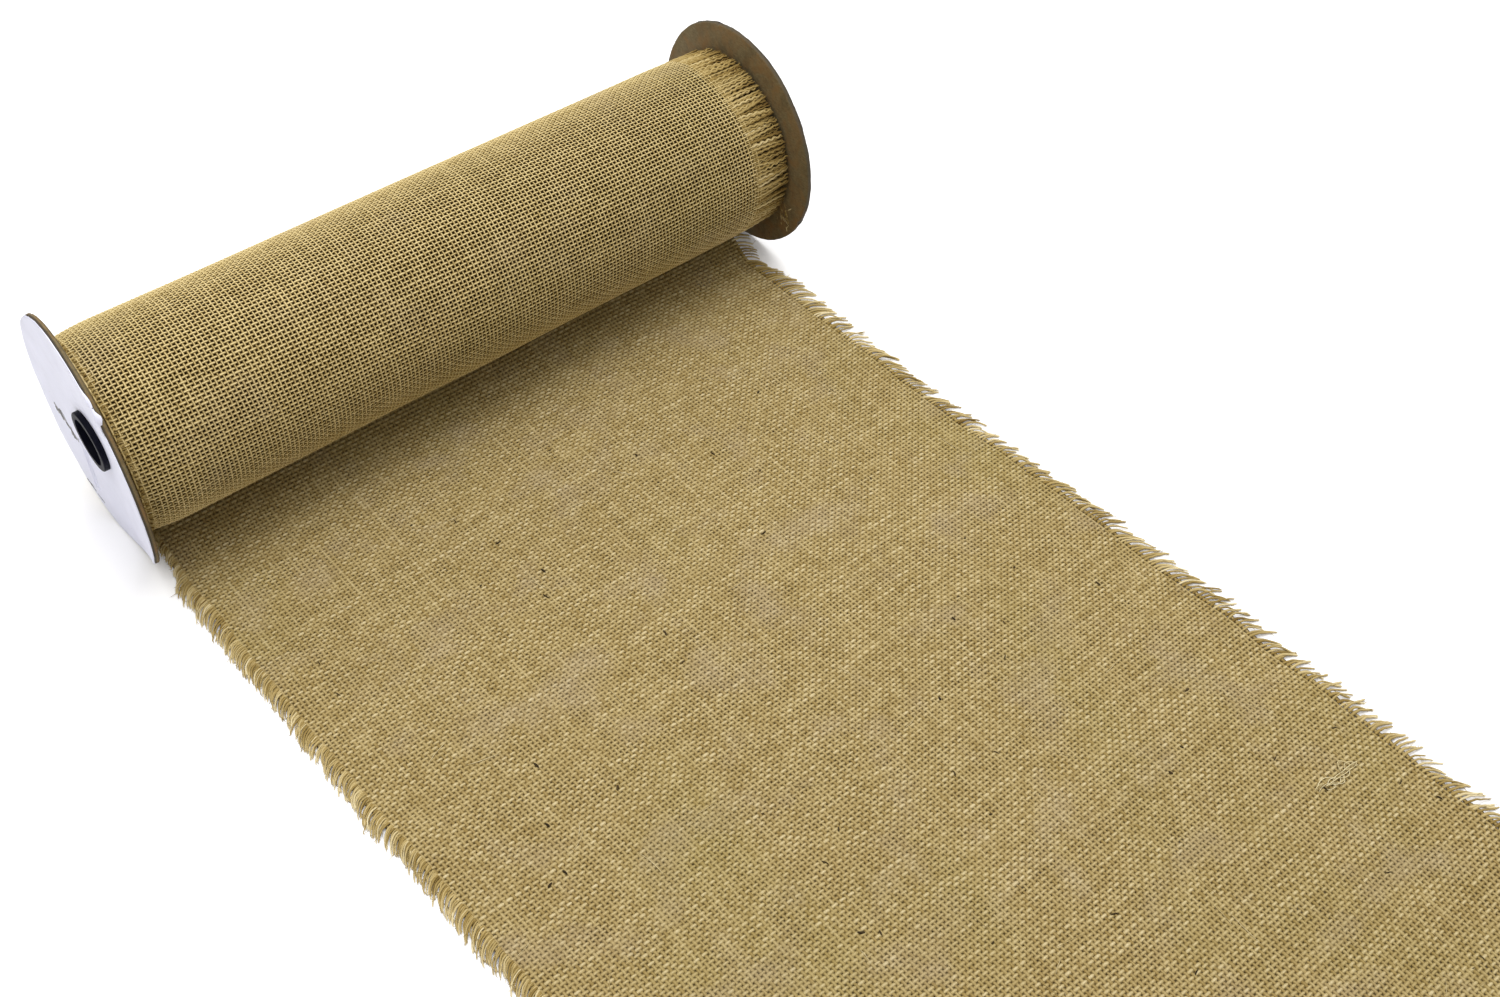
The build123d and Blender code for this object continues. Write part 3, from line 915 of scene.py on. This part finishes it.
def inner_turns():
    """The turns under the outer one: a surface in near-black painted-shade jute, with each turn's edge at
    both ends.
    """
    inside = tube_high[1] + 0.3
    outside = ROLL_RADIUS - RIBBON_THICKNESS / 2 - INNER_TURN_DEPTH
    radii = np.linspace(inside, outside - ROLL_DROP[0], TURNS)
    step = radii[1] - radii[0]
    rng = np.random.default_rng(9)
    left, right = [], []
    for radius in radii:
        for end in (left, right):
            in_by = rng.uniform(0.0, 1.6)
            end += [(in_by + 0.7, radius), (in_by, radius + 0.35 * step), (in_by, radius + 0.65 * step)]
    # All of it is painted shade: 0.55 at the turns' edges, darker 0.25 under the outer turn, seen only
    # through its holes
    rings, tones = [], []
    ripple = 0.6 * round_noise(0 * around, around, 18, 91)
    left_x, right_x = roll_low[0] + 1.5, roll_high[0] - 3.0
    for in_by, radius in left:
        x = left_x + in_by + ripple
        rings.append(np.stack([x, radius * np.cos(around), radius * np.sin(around)], 1))
        tones.append(np.full(SEGMENTS, 0.55))
    for x in np.linspace(left_x, right_x, 40):
        rings.append(roll_point(np.full(SEGMENTS, x), around, -INNER_TURN_DEPTH))
        tones.append(np.full(SEGMENTS, 0.25))
    for in_by, radius in reversed(right):
        x = right_x - in_by + ripple
        rings.append(np.stack([x, radius * np.cos(around), radius * np.sin(around)], 1))
        tones.append(np.full(SEGMENTS, 0.55))
    points = np.concatenate(rings)
    fibre = np.stack([points[:, 0], np.tile(around * 40, len(rings)), points[:, 2]], 1)
    values = {"tone": np.concatenate(tones), "fibre": fibre}
    faces = lathe((len(rings), SEGMENTS))
    return new_piece("roll_inner_turns", points, faces, "spool", painted_shade_jute, values)


inner = inner_turns()

# ------------------------------------------------------------------------------ flecks and loose fibres

def flecks(name, count, seed, size, reach, tones, mat, spots=()):
    """Short bits lying on the yarns of the free length: some at given (x, s) spots, the rest anywhere."""
    rng = np.random.default_rng(seed)
    x = np.append(rng.uniform(warps[0] + 4, warps[-1] - 4, count - len(spots)), [x for x, _ in spots])
    s = np.append(rng.uniform(45, TAIL_LENGTH - 20, count - len(spots)), [s for _, s in spots])
    heading = rng.choice([0.0, math.pi / 2], count) + rng.normal(0, 0.35, count)
    length = rng.uniform(*reach, count)
    t = np.linspace(-0.5, 0.5, 6)
    along = length[:, None] * t
    bow = rng.normal(0, 0.25, count)[:, None] * length[:, None] * (0.25 - t**2)
    px = x[:, None] + along * np.cos(heading)[:, None] - bow * np.sin(heading)[:, None]
    ps = s[:, None] + along * np.sin(heading)[:, None] + bow * np.cos(heading)[:, None]
    bx, bs = tail_bent(px, ps)
    lines = tail_point(bx, bs, YARN_TOP)
    up = tail_point(bx, bs, YARN_TOP + 1) - lines
    width = rng.uniform(*size, count)[:, None] * np.cos(math.pi * t)[None] ** 0.5
    tone = np.repeat(rng.uniform(*tones, count)[:, None], 6, axis=1)
    made = tubes(lines, up, np.maximum(width, 0.03), np.maximum(width * 0.6, 0.02), tone, 4)
    return new_piece(name, made[0], made[1], "ribbon_free_length", mat, made[2])


bark = jute("jute_bark", BARK)
dark_flecks = flecks("bark_flecks", 75, 41, (0.16, 0.45), (0.8, 3.2), (0.0, 0.6), bark, BARK_SPOTS)
pale_fibres = flecks("loose_fibres", 90, 42, (0.07, 0.13), (4, 16), (0.5, 1.0), fringe_jute)


def tuft():
    """A tuft of bleached fibres caught in the free length near its right edge."""
    rng = np.random.default_rng(43)
    count, points = 20, 9
    t = np.linspace(0, 1, points)
    start = rng.uniform(0, 15, count)[:, None]
    reach = rng.uniform(4, 9, count)[:, None]
    out = start + reach * t
    x = TUFT_PLACE[0] + out
    apart, bow = rng.normal(0, 0.7, count)[:, None], rng.normal(0, 1.6, count)[:, None]
    s = TUFT_PLACE[1] + 0.08 * out + apart + bow * t * (1 - t) * 4
    h = 0.75 + rng.uniform(0, 0.8, count)[:, None] * np.sin(math.pi * t)
    lines = tail_point(x, s, h)
    up = tail_point(x, s, h + 1) - lines
    size = rng.uniform(0.08, 0.17, count)[:, None] * np.ones(points)
    tone = rng.uniform(0.4, 1.0, count)[:, None] * np.ones(points)
    made = tubes(lines, up, size, size, tone, 4)
    return new_piece("bleached_tuft", made[0], made[1], "ribbon_free_length", bleached, made[2])


bleached = jute("jute_bleached", BLEACHED)
pale_tuft = tuft()

# ------------------------------------------------------------------------------ sheets and CAD pieces

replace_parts(tail_pieces[0], "ribbon_tail")
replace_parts(roll_pieces[0], "wound_ribbon")

hub = black_plastic()
cad_pieces = {"left_hub": hub, "right_hub": hub, "core_tube": kraft_tube(), "starter_tape": packing_tape()}
for node, mat in cad_pieces.items():
    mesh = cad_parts[node].data
    mesh.materials.clear()
    mesh.materials.append(mat)


# ------------------------------------------------------------------------------ camera, floor, light

def camera():
    """A camera in front of the free length and to its left, looking down over it to the spool."""
    azimuth, elevation, lean = (math.radians(a) for a in (-39.786, 47.293, 0.569))
    back = Vector((math.sin(azimuth) * math.cos(elevation), -math.cos(azimuth) * math.cos(elevation),
                   math.sin(elevation)))
    level = Vector((0, 0, 1)).cross(back).normalized()
    upright = back.cross(level)
    right = math.cos(lean) * level + math.sin(lean) * upright
    up = math.cos(lean) * upright - math.sin(lean) * level
    data = bpy.data.cameras.new("camera")
    data.sensor_width = 36
    data.lens = 41.49
    made = bpy.data.objects.new("camera", data)
    turned = Matrix((right, up, back)).transposed().to_4x4()
    turned.translation = Vector((-251.58, -496.92, 454.30)) * MM
    made.matrix_world = turned
    bpy.context.scene.collection.objects.link(made)
    bpy.context.scene.camera = made


def floor():
    """A plain pale floor just under the table's level."""
    reach, level = 6.0, (TABLE - 0.1) * MM
    corners_at = ((-reach, -reach), (reach, -reach), (reach, reach), (-reach, reach))
    mesh = bpy.data.meshes.new("floor")
    mesh.from_pydata([(x, y, level) for x, y in corners_at], [], [(0, 1, 2, 3)])
    mat, _, shader = material("floor_white", 0.7)
    shader.inputs["Base Color"].default_value = (0.9, 0.9, 0.915, 1)
    shader.inputs["Emission Color"].default_value = (0.95, 0.96, 1.0, 1)
    shader.inputs["Emission Strength"].default_value = 0.1
    mesh.materials.append(mat)
    made = bpy.data.objects.new("floor", mesh)
    bpy.context.scene.collection.objects.link(made)


def light(name, place, target, size, power):
    """A square area light at a place, turned to a target. Metres and watts."""
    data = bpy.data.lights.new(name, "AREA")
    data.size = size
    data.energy = power
    made = bpy.data.objects.new(name, data)
    made.location = place
    made.rotation_mode = "QUATERNION"
    made.rotation_quaternion = (Vector(target) - Vector(place)).to_track_quat("-Z", "Y")
    bpy.context.scene.collection.objects.link(made)


def studio():
    """Warm light from all round, a big soft light overhead and a small one behind."""
    world = bpy.data.worlds.new("studio")
    world.use_nodes = True
    background = world.node_tree.nodes["Background"]
    background.inputs["Color"].default_value = (1.0, 0.96, 0.88, 1)
    background.inputs["Strength"].default_value = 0.42
    bpy.context.scene.world = world
    light("overhead", (0.05, -0.15, 1.5), (0, -0.1, 0), 1.6, 33)
    light("key", (0.35, 0.9, 0.9), (0, -0.05, 0), 0.6, 5)
    bpy.context.scene.view_settings.view_transform = "Standard"


camera()
floor()
studio()
